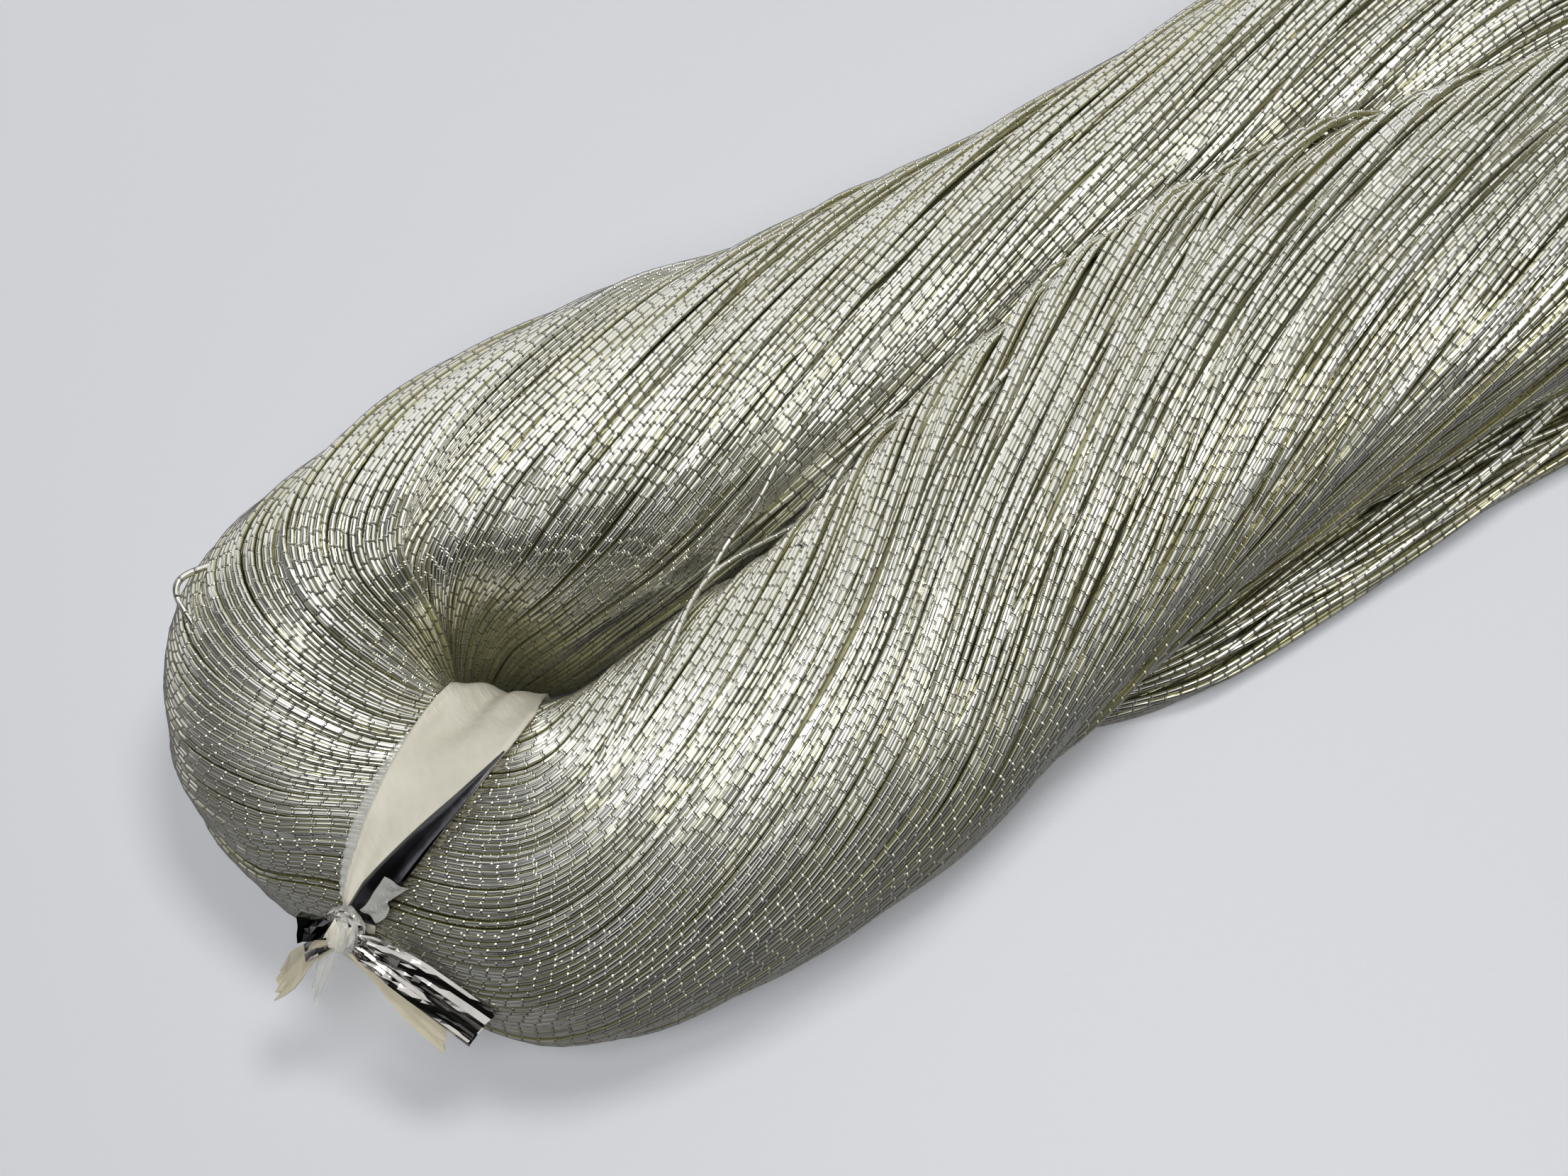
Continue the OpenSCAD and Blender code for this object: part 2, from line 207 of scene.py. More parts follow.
def place(points):
    """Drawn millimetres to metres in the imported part's frame."""
    return np.asarray(points) * SCALE + SHIFT


def keep_off_table(paths):
    """Lift thread centres that would sink into the table."""
    paths[..., 2] = np.maximum(paths[..., 2], THREAD_D / 2 + TABLE_GAP)


# ---------------- mesh helpers


def unit(v, least=1e-12):
    """Directions of length 1."""
    return v / np.maximum(np.linalg.norm(v, axis=-1, keepdims=True), least)


def add_object(name, data):
    thing = bpy.data.objects.new(name, data)
    bpy.context.scene.collection.objects.link(thing)
    return thing


def build_mesh(name, verts, quads, uvs=None, smooth=True, extra=()):
    """Mesh from arrays: verts in metres, quads (n, 4), uvs one per quad corner, extra faces as lists."""
    mesh = bpy.data.meshes.new(name)
    loops = np.concatenate([np.asarray(quads).reshape(-1), *[np.array(f) for f in extra]]).astype(np.int32)
    sizes = np.concatenate([np.full(len(quads), 4), [len(f) for f in extra]]).astype(np.int32)
    starts = np.concatenate([[0], np.cumsum(sizes)[:-1]]).astype(np.int32)
    mesh.vertices.add(len(verts))
    mesh.vertices.foreach_set("co", np.asarray(verts, np.float32).reshape(-1))
    mesh.loops.add(len(loops))
    mesh.loops.foreach_set("vertex_index", loops)
    mesh.polygons.add(len(sizes))
    mesh.polygons.foreach_set("loop_start", starts)
    mesh.polygons.foreach_set("use_smooth", np.full(len(sizes), smooth))
    if uvs is not None:
        flat = np.zeros((len(loops), 2), np.float32)
        flat[: len(quads) * 4] = np.asarray(uvs, np.float32).reshape(-1, 2)
        mesh.uv_layers.new(name="lay").data.foreach_set("uv", flat.reshape(-1))
    mesh.update()
    mesh.validate()
    return add_object(name, mesh)


def stand_for(node):
    """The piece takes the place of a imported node."""
    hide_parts(node)


def ring_quads(rows, cols, closed):
    """Faces between rings of points, cols round each ring, and back to the first ring if closed."""
    here = np.arange(rows * cols).reshape(rows, cols)
    after = np.roll(here, -1, axis=1)
    quads = np.stack([here, after, np.roll(after, -1, axis=0), np.roll(here, -1, axis=0)], axis=-1)
    return (quads if closed else quads[:-1]).reshape(-1, 4)


def tube_arrays(paths, up, radius, phase, closed):
    """Vertices, quads, uvs and end caps of many thread tubes.

    paths holds (threads, samples) points, and up the outward direction at each. The uv's first value
    counts foil turns along the thread. Its second goes round it, with 0.5 on the outward side.
    """
    threads, samples = paths.shape[:2]
    if closed:
        ahead, behind = np.roll(paths, -1, axis=1), np.roll(paths, 1, axis=1)
    else:
        ahead = np.concatenate([paths[:, 1:], paths[:, -1:]], axis=1)
        behind = np.concatenate([paths[:, :1], paths[:, :-1]], axis=1)
    heading = unit(ahead - behind)
    side = unit(np.cross(heading, up))
    normal = np.cross(side, heading)
    sides = THREAD_SIDES
    around = 2 * np.pi * (np.arange(sides) / sides - 0.5)
    spread = np.broadcast_to(radius, (threads, samples))[..., None, None]
    rings = paths[:, :, None] + spread * (
        np.cos(around)[:, None] * normal[:, :, None] + np.sin(around)[:, None] * side[:, :, None])
    steps = np.linalg.norm(np.diff(paths, axis=1, append=paths[:, :1]), axis=2)
    along = np.concatenate([np.zeros((threads, 1)), np.cumsum(steps, axis=1)], axis=1)
    quads = ring_quads(samples, sides, closed) + (np.arange(threads) * samples * sides)[:, None, None]
    spans = samples if closed else samples - 1
    seams = along / SEAM_PITCH + phase[:, None]
    start, end = seams[:, :spans, None], seams[:, 1 : spans + 1, None]
    near, far = np.arange(sides) / sides, np.arange(1, sides + 1) / sides
    corners = ((start, near), (start, far), (end, far), (end, near))
    uvs = np.stack([np.stack(np.broadcast_arrays(*corner), -1) for corner in corners], axis=-2)
    caps = []
    if not closed:
        for k in range(threads):
            first = k * samples * sides
            last = first + (samples - 1) * sides
            caps += [list(range(first + sides - 1, first - 1, -1)), list(range(last, last + sides))]
    return rings.reshape(-1, 3), quads.reshape(-1, 4), uvs.reshape(-1, 4, 2), caps


def thread_piece(name, bundles, body, material):
    """One piece from several bundles of thread tubes, each as tube_arrays gives them."""
    verts, quads, uvs, caps, offset = [], [], [], [], 0
    for v, q, w, c in bundles:
        verts.append(v)
        quads.append(q + offset)
        uvs.append(w)
        caps += [[n + offset for n in face] for face in c]
        offset += len(v)
    verts, quads, uvs = np.concatenate(verts), np.concatenate(quads), np.concatenate(uvs)
    piece = build_mesh(name, place(verts), quads, uvs, extra=caps)
    piece.data.materials.append(material)
    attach(piece, body)
    return piece


def sheet_piece(name, points, thickness, body, material, smooth=True):
    """Thin closed sheet from a grid of drawn points: a front, a back and a rim."""
    normals = unit(np.cross(np.gradient(points, axis=0), np.gradient(points, axis=1)))
    rows, cols = points.shape[:2]
    front = points + normals * thickness / 2
    back = points - normals * thickness / 2
    verts = np.concatenate([front.reshape(-1, 3), back.reshape(-1, 3)])
    grid = np.arange(rows * cols).reshape(rows, cols)
    faces = np.stack([grid[:-1, :-1], grid[:-1, 1:], grid[1:, 1:], grid[1:, :-1]], -1).reshape(-1, 4)
    under = faces[:, ::-1] + rows * cols
    edge = np.concatenate([grid[0, :-1], grid[:-1, -1], grid[-1, :0:-1], grid[:0:-1, 0]])
    after = np.roll(edge, -1)
    rim = np.stack([edge, edge + rows * cols, after + rows * cols, after], -1)
    piece = build_mesh(name, place(verts), np.concatenate([faces, under, rim]), smooth=smooth)
    piece.data.materials.append(material)
    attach(piece, body)
    return piece


def triangle_wave(x):
    """Zigzag between -1 and 1, one fold per unit."""
    return 2 * np.abs(2 * (x - np.floor(x + 0.5))) - 1


# ---------------- materials


def new_material(name):
    material = bpy.data.materials.new(name)
    material.use_nodes = True
    return material, material.node_tree, material.node_tree.nodes["Principled BSDF"]


def set_inputs(node, **values):
    for name, value in values.items():
        node.inputs[name].default_value = value
    return node


def fill_input(tree, socket, value):
    """Give a socket a number, a colour or another node's output."""
    if isinstance(value, (int, float)):
        socket.default_value = value
    elif isinstance(value, tuple):
        socket.default_value = (*value, 1.0)
    else:
        tree.links.new(value, socket)


def math_node(tree, operation, *values, clamp=False):
    node = tree.nodes.new("ShaderNodeMath")
    node.operation = operation
    node.use_clamp = clamp
    for socket, value in zip(node.inputs, values):
        fill_input(tree, socket, value)
    return node.outputs[0]


def colour_mix(tree, factor, a, b):
    """Mix of two colours; a mix node's sockets 6 and 7 are its colours."""
    node = tree.nodes.new("ShaderNodeMix")
    node.data_type = "RGBA"
    for number, value in ((0, factor), (6, a), (7, b)):
        fill_input(tree, node.inputs[number], value)
    return node.outputs[2]


def object_noise(tree, scale, detail=3.0, stretch=(1, 1, 1)):
    """Noise in the piece's own space; scale is in cycles per metre."""
    coordinates = tree.nodes.new("ShaderNodeTexCoord")
    mapping = tree.nodes.new("ShaderNodeMapping")
    mapping.inputs["Scale"].default_value = stretch
    tree.links.new(coordinates.outputs["Object"], mapping.inputs["Vector"])
    noise = set_inputs(tree.nodes.new("ShaderNodeTexNoise"), Scale=scale, Detail=detail)
    tree.links.new(mapping.outputs[0], noise.inputs["Vector"])
    return noise.outputs[0]


def bump(tree, bsdf, height, distance, strength=1.0):
    node = set_inputs(tree.nodes.new("ShaderNodeBump"), Distance=distance, Strength=strength)
    tree.links.new(height, node.inputs["Height"])
    tree.links.new(node.outputs[0], bsdf.inputs["Normal"])


def metal_thread(name):
    """Foil strip wound round a thread: a dark seam each turn, turns that tilt a little, and olive flanks that
    are partly the yellowish core and partly painted shade between neighbouring threads.
    """
    seam_lean, seam_half, seam_depth = 0.2, 0.05, 0.2
    lip_place, lip_height, lip_slope = 0.10, 0.18, 4.5
    least_tilt, tilt_range = -0.5, 1.5
    flank_slope, flank_start = 7.0, -0.6
    metal, metal_lost = 0.96, 0.24
    silver, aged_silver = (0.97, 0.96, 0.91), (0.80, 0.79, 0.71)
    # olive is the flank colour: partly the yellowish core, partly painted shade between neighbouring threads.
    olive, seam_colour = (0.42, 0.40, 0.20), (0.20, 0.19, 0.14)
    material, tree, bsdf = new_material(name)
    work = partial(math_node, tree)
    uv = tree.nodes.new("ShaderNodeUVMap")
    uv.uv_map = "lay"
    split = tree.nodes.new("ShaderNodeSeparateXYZ")
    tree.links.new(uv.outputs[0], split.inputs[0])
    turns, round_thread = split.outputs[0], split.outputs[1]
    along = work("ADD", turns, work("MULTIPLY", round_thread, seam_lean))
    turn_place = work("FRACT", along)
    seam = work("DIVIDE", work("PINGPONG", along, 0.5), seam_half)
    seam = work("SUBTRACT", 1.0, seam, clamp=True)
    chance = tree.nodes.new("ShaderNodeTexWhiteNoise")
    chance.noise_dimensions = "1D"
    tree.links.new(work("FLOOR", along), chance.inputs["W"])
    flank = work("ABSOLUTE", work("SUBTRACT", round_thread, 0.5))
    flank = work("MULTIPLY_ADD", flank, flank_slope, flank_start, clamp=True)
    tint = colour_mix(tree, chance.outputs["Value"], silver, aged_silver)
    # The flanks, away from each thread's outward crown, take the olive: partly core colour, partly painted
    # shade between threads.
    tint = colour_mix(tree, flank, tint, olive)
    tree.links.new(colour_mix(tree, seam, tint, seam_colour), bsdf.inputs["Base Color"])
    tree.links.new(work("MULTIPLY_ADD", flank, -metal_lost, metal), bsdf.inputs["Metallic"])
    set_inputs(bsdf, Roughness=0.1)
    swing = work("MULTIPLY_ADD", chance.outputs["Value"], tilt_range, least_tilt)
    tilt = work("MULTIPLY", swing, work("SUBTRACT", turn_place, 0.5))
    lip = work("ABSOLUTE", work("SUBTRACT", turn_place, lip_place))
    lip = work("SUBTRACT", lip_height, work("MULTIPLY", lip, lip_slope), clamp=True)
    height = work("SUBTRACT", tilt, work("MULTIPLY", seam, seam_depth))
    bump(tree, bsdf, work("ADD", height, lip), distance=0.13 * MM)
    return material


def shaded_thread(name):
    """The inner turns of a lock, seen only in the grooves: dark olive, partly the yellowish core and partly
    painted shade in the grooves.
    """
    material, tree, bsdf = new_material(name)
    grain = object_noise(tree, scale=900.0, stretch=(0.15, 1, 1))
    # Dark olive grain: partly the yellowish core, partly painted shade in the grooves.
    colour = colour_mix(tree, grain, (0.30, 0.29, 0.14), (0.55, 0.54, 0.32))
    tree.links.new(colour, bsdf.inputs["Base Color"])
    set_inputs(bsdf, Metallic=0.6, Roughness=0.5)
    bump(tree, bsdf, grain, distance=0.2 * MM)
    return material


def paper_look(name, mottle_brown, fresh, fibre):
    """Cream tissue paper with long fibres, mottled at random with a browner tone."""
    fibre_share = 0.6
    material, tree, bsdf = new_material(name)
    fibres = object_noise(tree, scale=2600.0, detail=6.0, stretch=(1, 0.35, 0.6))
    mottle = object_noise(tree, scale=260.0)
    tone = colour_mix(tree, mottle, mottle_brown, fresh)
    fleck = math_node(tree, "MULTIPLY", fibres, fibre_share)
    tree.links.new(colour_mix(tree, fleck, tone, fibre), bsdf.inputs["Base Color"])
    set_inputs(bsdf, Roughness=0.42)
    bump(tree, bsdf, fibres, distance=0.10 * MM, strength=0.8)
    return material


def mirror_foil(name, dull, bright):
    """Metallised film with a mirror face and fine creases."""
    material, tree, bsdf = new_material(name)
    creases = object_noise(tree, scale=700.0, detail=2.0)
    tree.links.new(colour_mix(tree, creases, dull, bright), bsdf.inputs["Base Color"])
    set_inputs(bsdf, Metallic=1.0, Roughness=0.07)
    bump(tree, bsdf, creases, distance=0.12 * MM, strength=0.35)
    return material


def clear_film(name):
    """Thin clear film, faintly streaked."""
    material, tree, bsdf = new_material(name)
    streaks = object_noise(tree, scale=1500.0, detail=2.0)
    tone = colour_mix(tree, streaks, (0.70, 0.71, 0.64), (0.92, 0.93, 0.90))
    tree.links.new(tone, bsdf.inputs["Base Color"])
    set_inputs(bsdf, Roughness=0.12, Alpha=0.36)
    bump(tree, bsdf, streaks, distance=0.05 * MM, strength=0.4)
    return material


SILVER = metal_thread("metal_thread")
SHADED = shaded_thread("inner_thread")
PAPER = paper_look("tie_paper", (0.56, 0.51, 0.39), (0.93, 0.91, 0.79), (0.88, 0.84, 0.73))
WORN_PAPER = paper_look("tie_paper_worn", (0.42, 0.37, 0.24), (0.74, 0.70, 0.54), (0.66, 0.60, 0.46))
FOIL = mirror_foil("tie_foil", (0.40, 0.38, 0.37), (0.74, 0.71, 0.66))
# Silver foil painted near-black: a painted reflection of the dark room, used on the folded edge and the flat
# stub.
FOIL_PAINTED_DARK = mirror_foil("tie_foil_dark", (0.05, 0.05, 0.055), (0.13, 0.13, 0.14))
FILM = clear_film("tie_film")

# ---------------- places round the loop


def loop_places():
    """Places for the thread rings: close together round the tied end, further apart at the far end."""
    per_rib, fine_reach, fade_length, fine_step, added_step = 60, 12, 120, 0.9, 2.2
    marks = np.arange(RIB_COUNT * per_rib + 1) / per_rib
    middle_line = section_point(marks[:-1], 0 * marks[:-1], 0.0)[0]
    steps = np.linalg.norm(np.roll(middle_line, -1, axis=0) - middle_line, axis=1)
    run = np.concatenate([[0], np.cumsum(steps)])
    loop_length = run[-1]
    from_tie = np.abs((run[:-1] - run[TIE_RIB * per_rib] + loop_length / 2) % loop_length - loop_length / 2)
    far = np.clip((from_tie - fine_reach) / fade_length, 0, 1)
    wanted = steps / (fine_step + added_step * far * far * (3 - 2 * far))
    count = np.concatenate([[0], np.cumsum(wanted)])
    rings = int(count[-1])
    places = np.interp(np.arange(rings) * count[-1] / rings, count, marks)
    lap = np.interp(places, marks, run) * 2 * np.pi / loop_length
    return places, lap, loop_length / (2 * np.pi)


places, lap, lap_mm = loop_places()
tie_lap = np.interp(TIE_RIB, places, lap)
from_tie = np.abs((lap - tie_lap + np.pi) % (2 * np.pi) - np.pi) * lap_mm
CALM_AT_TIE, CALM_REACH = 0.22, 42
calm = CALM_AT_TIE + (1 - CALM_AT_TIE) * (1 - hump(from_tie, 0, CALM_REACH))

# ---------------- threads of the locks


def strand_field(seed, count=26):
    """Random strands of turns: waves across the section that run along the loop. Periodic both ways."""
    fewest_across, most_across, most_along = 11, 40, 16
    pick = np.random.default_rng(seed)
    across_waves = pick.integers(fewest_across, most_across, count)
    along_waves = pick.integers(-most_along, most_along + 1, count)
    phases = pick.uniform(0, 2 * np.pi, count)
    weights = pick.uniform(0.5, 1.0, count) / across_waves

    def field(material, place_lap):
        total = np.zeros(np.broadcast(material, place_lap).shape)
        slope = np.zeros_like(total)
        angle = np.radians(material)
        for n, m, phase, weight in zip(across_waves, along_waves, phases, weights):
            wave = n * angle + m * place_lap + phase
            total += weight * np.cos(wave)
            slope -= weight * n * np.sin(wave)
        size = math.sqrt((weights**2).sum() / 2)
        return total / size, slope / size

    return field


strands = strand_field(3)
lower_strands = strand_field(4)


def wander(pick, count, low, high):
    """Slow random waves, low to high of them in a lap, one row per thread, about 1 in size."""
    total = np.zeros((count, len(lap)))
    for m in range(low, high + 1):
        size = pick.normal(0, m**-0.5, (count, 1))
        total += size * np.cos(m * lap + pick.uniform(0, 2 * np.pi, (count, 1)))
    return total / math.sqrt(sum(1 / m for m in range(low, high + 1)) / 2)


def lock_edge(material):
    """Depth of the groove between neighbouring locks, and the round of each lock's back."""
    round_depth, groove_depth, groove_half = 0.22, 0.30, 1.6
    across = ((material - SEAM_ANGLE) % LOCK_WIDTH) / LOCK_WIDTH * 2 - 1
    from_edge = (1 - np.abs(across)) * LOCK_WIDTH / 2
    return round_depth * np.abs(across) ** 4 + groove_depth * hump(from_edge, 0, groove_half)


def thread_radius(material):
    """Thread radius, held down where the turns are squeezed closer than they are thick."""
    least_radius = 0.11
    base = flow_point(places[None], material[:, None])[0]
    heading = unit(np.roll(base, -1, axis=1) - np.roll(base, 1, axis=1))
    across = np.roll(base, -1, axis=0) - base
    across -= (across * heading).sum(-1, keepdims=True) * heading
    spacing = np.linalg.norm(across, axis=-1)
    spacing = (spacing + np.roll(spacing, 1, axis=0)) / 2
    return np.clip(spacing / 2, least_radius, THREAD_D / 2)


def laid_threads(material, depth, radius, pick, looseness, field):
    """Paths of closed turns laid at material angles, depth millimetres under the skin."""
    gathering, strand_depth, unevenness = 0.032, 0.24, 0.06
    count = len(material)
    m = np.broadcast_to(material[:, None], (count, len(lap)))
    height, slope = field(m, lap[None])
    drift = gathering * slope * calm + wander(pick, count, 2, 16) * looseness * calm
    sink = depth + lock_edge(m) * calm + strand_depth * (1 - height) * calm
    sink = sink + np.abs(wander(pick, count, 3, 24)) * unevenness
    paths, up = flow_point(np.broadcast_to(places, m.shape), m + drift, 1.0, -sink - radius)
    keep_off_table(paths)
    return paths, up


def wild_threads(pick, count, middle, width):
    """Turns that ride over the others and cross them at small angles."""
    loose_from, least_drift, most_drift = 30, 2, 7
    rest_depth, rise, strand_rise = 0.12, 0.2, 0.1
    m = np.broadcast_to(middle + pick.uniform(-width / 2, width / 2, (count, 1)), (count, len(lap)))
    loose = 1 - hump(from_tie, 0, loose_from)
    drift = wander(pick, count, 2, 9) * pick.uniform(least_drift, most_drift, (count, 1)) * loose
    sink = rest_depth - rise * loose * np.abs(wander(pick, count, 2, 8))
    sink = sink - strand_rise * strands(m + drift, lap[None])[0] * calm
    paths, up = flow_point(np.broadcast_to(places, m.shape), m + drift, 1.0, -sink - THREAD_D / 2)
    keep_off_table(paths)
    return paths, up


def seam_wall_threads(pick):
    """Turns that cover the side of the proud outer lobe, down to the lower turns beside it."""
    levels = np.array([0.12, 0.3, 0.48, 0.66, 0.84, 1.0])
    beside, wall_height, hidden_depth, sway = 0.4, 1.2, 0.6, 0.05
    proud, up = flow_point(places, SEAM_ANGLE - beside)
    lower = flow_point(places, SEAM_ANGLE + beside)[0]
    step = np.linalg.norm(proud - lower, axis=-1)
    hidden = hidden_depth * np.clip(1 - step / wall_height, 0, 1)
    paths = proud + (lower - proud) * levels[:, None, None] - up * hidden[:, None]
    paths = paths + up * (wander(pick, len(levels), 3, 20) * sway)[..., None]
    sideways = unit(flow_point(places, SEAM_ANGLE + 4)[0] - flow_point(places, SEAM_ANGLE + 1)[0])
    keep_off_table(paths)
    return paths, np.broadcast_to(unit(sideways + up), paths.shape)


def lock_threads(k, radii):
    """Surface turns, the turns below them and the wild turns of one lock."""
    lower_depth, surface_looseness, lower_looseness = 0.30, 0.8, 1.6
    start = SEAM_ANGLE + LOCK_WIDTH * (k - 2)
    per_lock = SURFACE_THREADS // LOCKS
    pick = np.random.default_rng(100 + k)
    step = LOCK_WIDTH / per_lock
    top = start + step * (np.arange(per_lock) + 0.5)
    radius = radii[(k - 1) * per_lock : k * per_lock]
    layers = ((top, 0.0, surface_looseness, strands),
              (top + step / 2, lower_depth, lower_looseness, lower_strands))
    bundles = []
    for angles, depth, looseness, field in layers:
        paths, up = laid_threads(angles, depth, radius, pick, looseness, field)
        phase = pick.integers(0, PHASES, per_lock) + pick.random(per_lock)
        bundles.append(tube_arrays(paths, up, radius, phase, True))
    paths, up = wild_threads(pick, WILD_PER_LOCK, start + LOCK_WIDTH / 2, LOCK_WIDTH)
    bundles.append(tube_arrays(paths, up, THREAD_D / 2, pick.uniform(0, PHASES, WILD_PER_LOCK), True))
    if k == 1:
        paths, up = seam_wall_threads(pick)
        bundles.append(tube_arrays(paths, up, THREAD_D / 2, pick.uniform(0, PHASES, len(paths)), True))
    piece = thread_piece(f"lock_{k}_threads", bundles, "hank", SILVER)
    stand_for(f"lock_{k}")


def lock_filling(k):
    """Solid of inner turns under a lock's threads, in the inner turns' dark colour that is partly painted
    shade.
    """
    top_share, top_width, bottom_share, bottom_width, table_gap = 0.885, 0.99, 0.6, 0.98, 0.5
    middle = SEAM_ANGLE + LOCK_WIDTH * (k - 1.5)
    corners = [(middle + LOCK_WIDTH / 2 * top_width * a, top_share) for a in np.linspace(-1, 1, 7)]
    corners += [(middle + LOCK_WIDTH / 2 * bottom_width * a, bottom_share) for a in (1, 0.33, -0.33, -1)]
    u, material = np.meshgrid(places[::2], [c[0] for c in corners], indexing="ij")
    points = flow_point(u, material, np.array([c[1] for c in corners])[None])[0]
    points[..., 2] = np.maximum(points[..., 2], table_gap)
    quads = ring_quads(*points.shape[:2], closed=True)
    piece = build_mesh(f"lock_{k}_inner_turns", place(points.reshape(-1, 3)), quads)
    piece.data.materials.append(SHADED)
    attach(piece, "hank")


def hank_threads():
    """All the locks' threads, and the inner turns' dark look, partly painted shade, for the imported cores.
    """
    step = 360 / SURFACE_THREADS
    radii = thread_radius(SEAM_ANGLE - LOCK_WIDTH + step * (np.arange(SURFACE_THREADS) + 0.5))
    for k in range(1, LOCKS + 1):
        lock_threads(k, radii)
        lock_filling(k)
    for k in range(1, CORES + 1):
        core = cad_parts[f"core_{k}"]
        core.data.materials.clear()
        core.data.materials.append(SHADED)


# ---------------- loose threads


def smooth_path(knots, samples):
    """Points along a smooth curve through the knots."""
    knots = np.asarray(knots, float)
    knots = np.concatenate([2 * knots[:1] - knots[1:2], knots, 2 * knots[-1:] - knots[-2:-1]])
    spans = len(knots) - 3
    s = np.linspace(0, spans, samples)
    k = np.minimum(s.astype(int), spans - 1)
    return curve_between(*(knots[k + i] for i in range(4)), (s - k)[:, None])


def upright(paths):
    """Straight up at every point of some paths."""
    return np.broadcast_to(np.array([0.0, 0.0, 1.0]), paths.shape)


def stray_threads():
    """Single turns that have come away and cross the valley between the arms.

    Each is (place, section angle, height over the skin) at the points it passes.
    """
    passes = (
        ((6.6, 96, -0.4), (5.83, 128, 0.15), (5.3, 150, 0.6),
         (13.0, 155, 0.8), (13.22, 146, 0.3), (13.6, 120, -0.5)),
        ((6.5, 92, -0.4), (5.78, 124, 0.15), (5.28, 149, 0.6),
         (13.35, 166, 0.8), (13.45, 162, 0.4), (13.9, 140, -0.5)),
        ((3.7, 116, -0.5), (3.98, 110, 0.2), (4.25, 103, 0.22), (4.48, 95, 0.15), (4.8, 84, -0.5)),
        ((4.9, 128, -0.3), (4.4, 140, 0.4), (3.9, 150, 0.6), (15.1, 150, 0.4), (15.5, 132, -0.3)),
        ((3.3, 136, -0.3), (2.9, 146, 0.4), (2.55, 152, 0.6), (16.3, 150, 0.4), (16.8, 128, -0.3)),
    )
    samples, phase_step = 60, 137.3
    bundles = []
    for number, knots in enumerate(passes):
        points = [section_point(u, angle, 1.0, lift)[0] for u, angle, lift in knots]
        path = smooth_path(points, samples)[None]
        bundles.append(tube_arrays(path, upright(path), THREAD_D / 2, np.array([phase_step * number]), False))
    thread_piece("stray_threads", bundles, "hank", SILVER)


def loose_loop():
    """One turn that bows out of the tied end and dives back in past both of its ends."""
    first_place, span, section_angle, phase = 10.62, 0.3, 39.0, 11.0
    height, foot, dive, run_in = 0.9, 0.25, 0.7, 0.25
    t = np.linspace(-run_in, 1 + run_in, 40)
    past_end = np.maximum(np.abs(t - 0.5) - 0.5, 0)
    bow = height * np.sin(np.pi * np.clip(t, 0, 1)) + foot - dive * past_end / run_in
    path = section_point(first_place + span * t, section_angle, 1.0, bow)[0][None]
    thread = tube_arrays(path, upright(path), THREAD_D / 2, np.array([phase]), False)
    piece = thread_piece("loose_loop_thread", [thread], "hank", SILVER)
    stand_for("loose_loop")


def side_bundle():
    """Turns that have slipped out of the twist and lie on the table beside the front arm.

    The middle line is (x, y, half height); each layer is (turns, share of the half height).
    """
    knots = ((20, -11.5, 0.5), (28, -14.7, 0.8), (38, -16.5, 1.5), (49, -15.7, 2.0), (65, -14.4, 2.3),
             (80, -14.6, 2.3), (110, -16.4, 2.3), (150, -17, 2.3), (185, -18.2, 2.1), (206, -18.8, 1.5),
             (214, -18.0, 0.9))
    layers = ((6, 0.42), (13, 0.74), (24, 0.96))
    samples, twist, turn_sway, size_sway = 110, 1.4, 0.16, 0.05
    widening, aside, lift, least_radius = 1.42, 0.8, 0.12, 0.05
    middle = smooth_path(knots, samples)
    half_height = middle[:, 2]
    run = np.linspace(0, 1, samples)
    centre = middle + np.array([0, aside, lift])
    pick = np.random.default_rng(61)

    def sway(fewest, most):
        return np.sin(2 * np.pi * (pick.integers(fewest, most) * run + pick.random()))

    paths, ups = [], []
    for count, reach in layers:
        for n in range(count):
            turn = 2 * np.pi * n / count + twist * np.sin(2 * np.pi * (run + reach)) + reach
            turn = turn + turn_sway * sway(2, 6)
            radial = half_height * reach * (1 + size_sway * sway(3, 8))
            around = np.stack([0 * run, widening * np.cos(turn), np.sin(turn)], -1)
            paths.append(centre + around * np.maximum(radial - THREAD_D / 2, least_radius)[:, None])
            ups.append(around)
    paths, ups = np.array(paths), np.array(ups)
    keep_off_table(paths)
    bundle = tube_arrays(paths, ups, THREAD_D / 2, pick.uniform(0, PHASES, len(paths)), False)
    piece = thread_piece("side_lock_threads", [bundle], "hank", SILVER)
    stand_for("side_lock")


# ---------------- tie: paper band, foil fold, film, knot

KNOT_ANGLE = 26.0
KNOT_SIDE = -2.0
BAND_W = 6.5
BAND_GATHERED_W = 1.8
PAPER_T, FILM_T, STRIP_T = 0.12, 0.05, 0.06


def band_edges(angle):
    """The two side edges of the band, in millimetres from the tie rib: narrow and aside at the knot."""
    gathered_reach, aside_power, widening_power = 115, 1.2, 0.85
    apart = np.abs((angle - KNOT_ANGLE + 180) % 360 - 180)
    from_knot = np.minimum(1, apart / gathered_reach)
    middle = KNOT_SIDE * (1 - from_knot**aside_power)
    half = (BAND_GATHERED_W + (BAND_W - BAND_GATHERED_W) * from_knot**widening_power) / 2
    return middle - half, middle + half


def tie_point(angle, side, lift):
    """Point on the pinch, side millimetres from the tie rib."""
    step, reach = 0.1, 0.9
    ahead = section_point(TIE_RIB + step + 0 * angle, angle)[0]
    behind = section_point(TIE_RIB - step + 0 * angle, angle)[0]
    per_mm = 2 * step / np.linalg.norm(ahead - behind, axis=-1)
    return section_point(TIE_RIB + np.clip(side * per_mm, -reach, reach), angle, 1.0, lift)[0]


def tie_sheet(angles, columns, edges, lift):
    """Grid of points between two side edges, with a lift that depends on (angle, across)."""
    angle, across = np.meshgrid(angles, np.linspace(0, 1, columns), indexing="ij")
    near, far = edges(angle)
    return tie_point(angle, near + (far - near) * across, lift(angle, across))


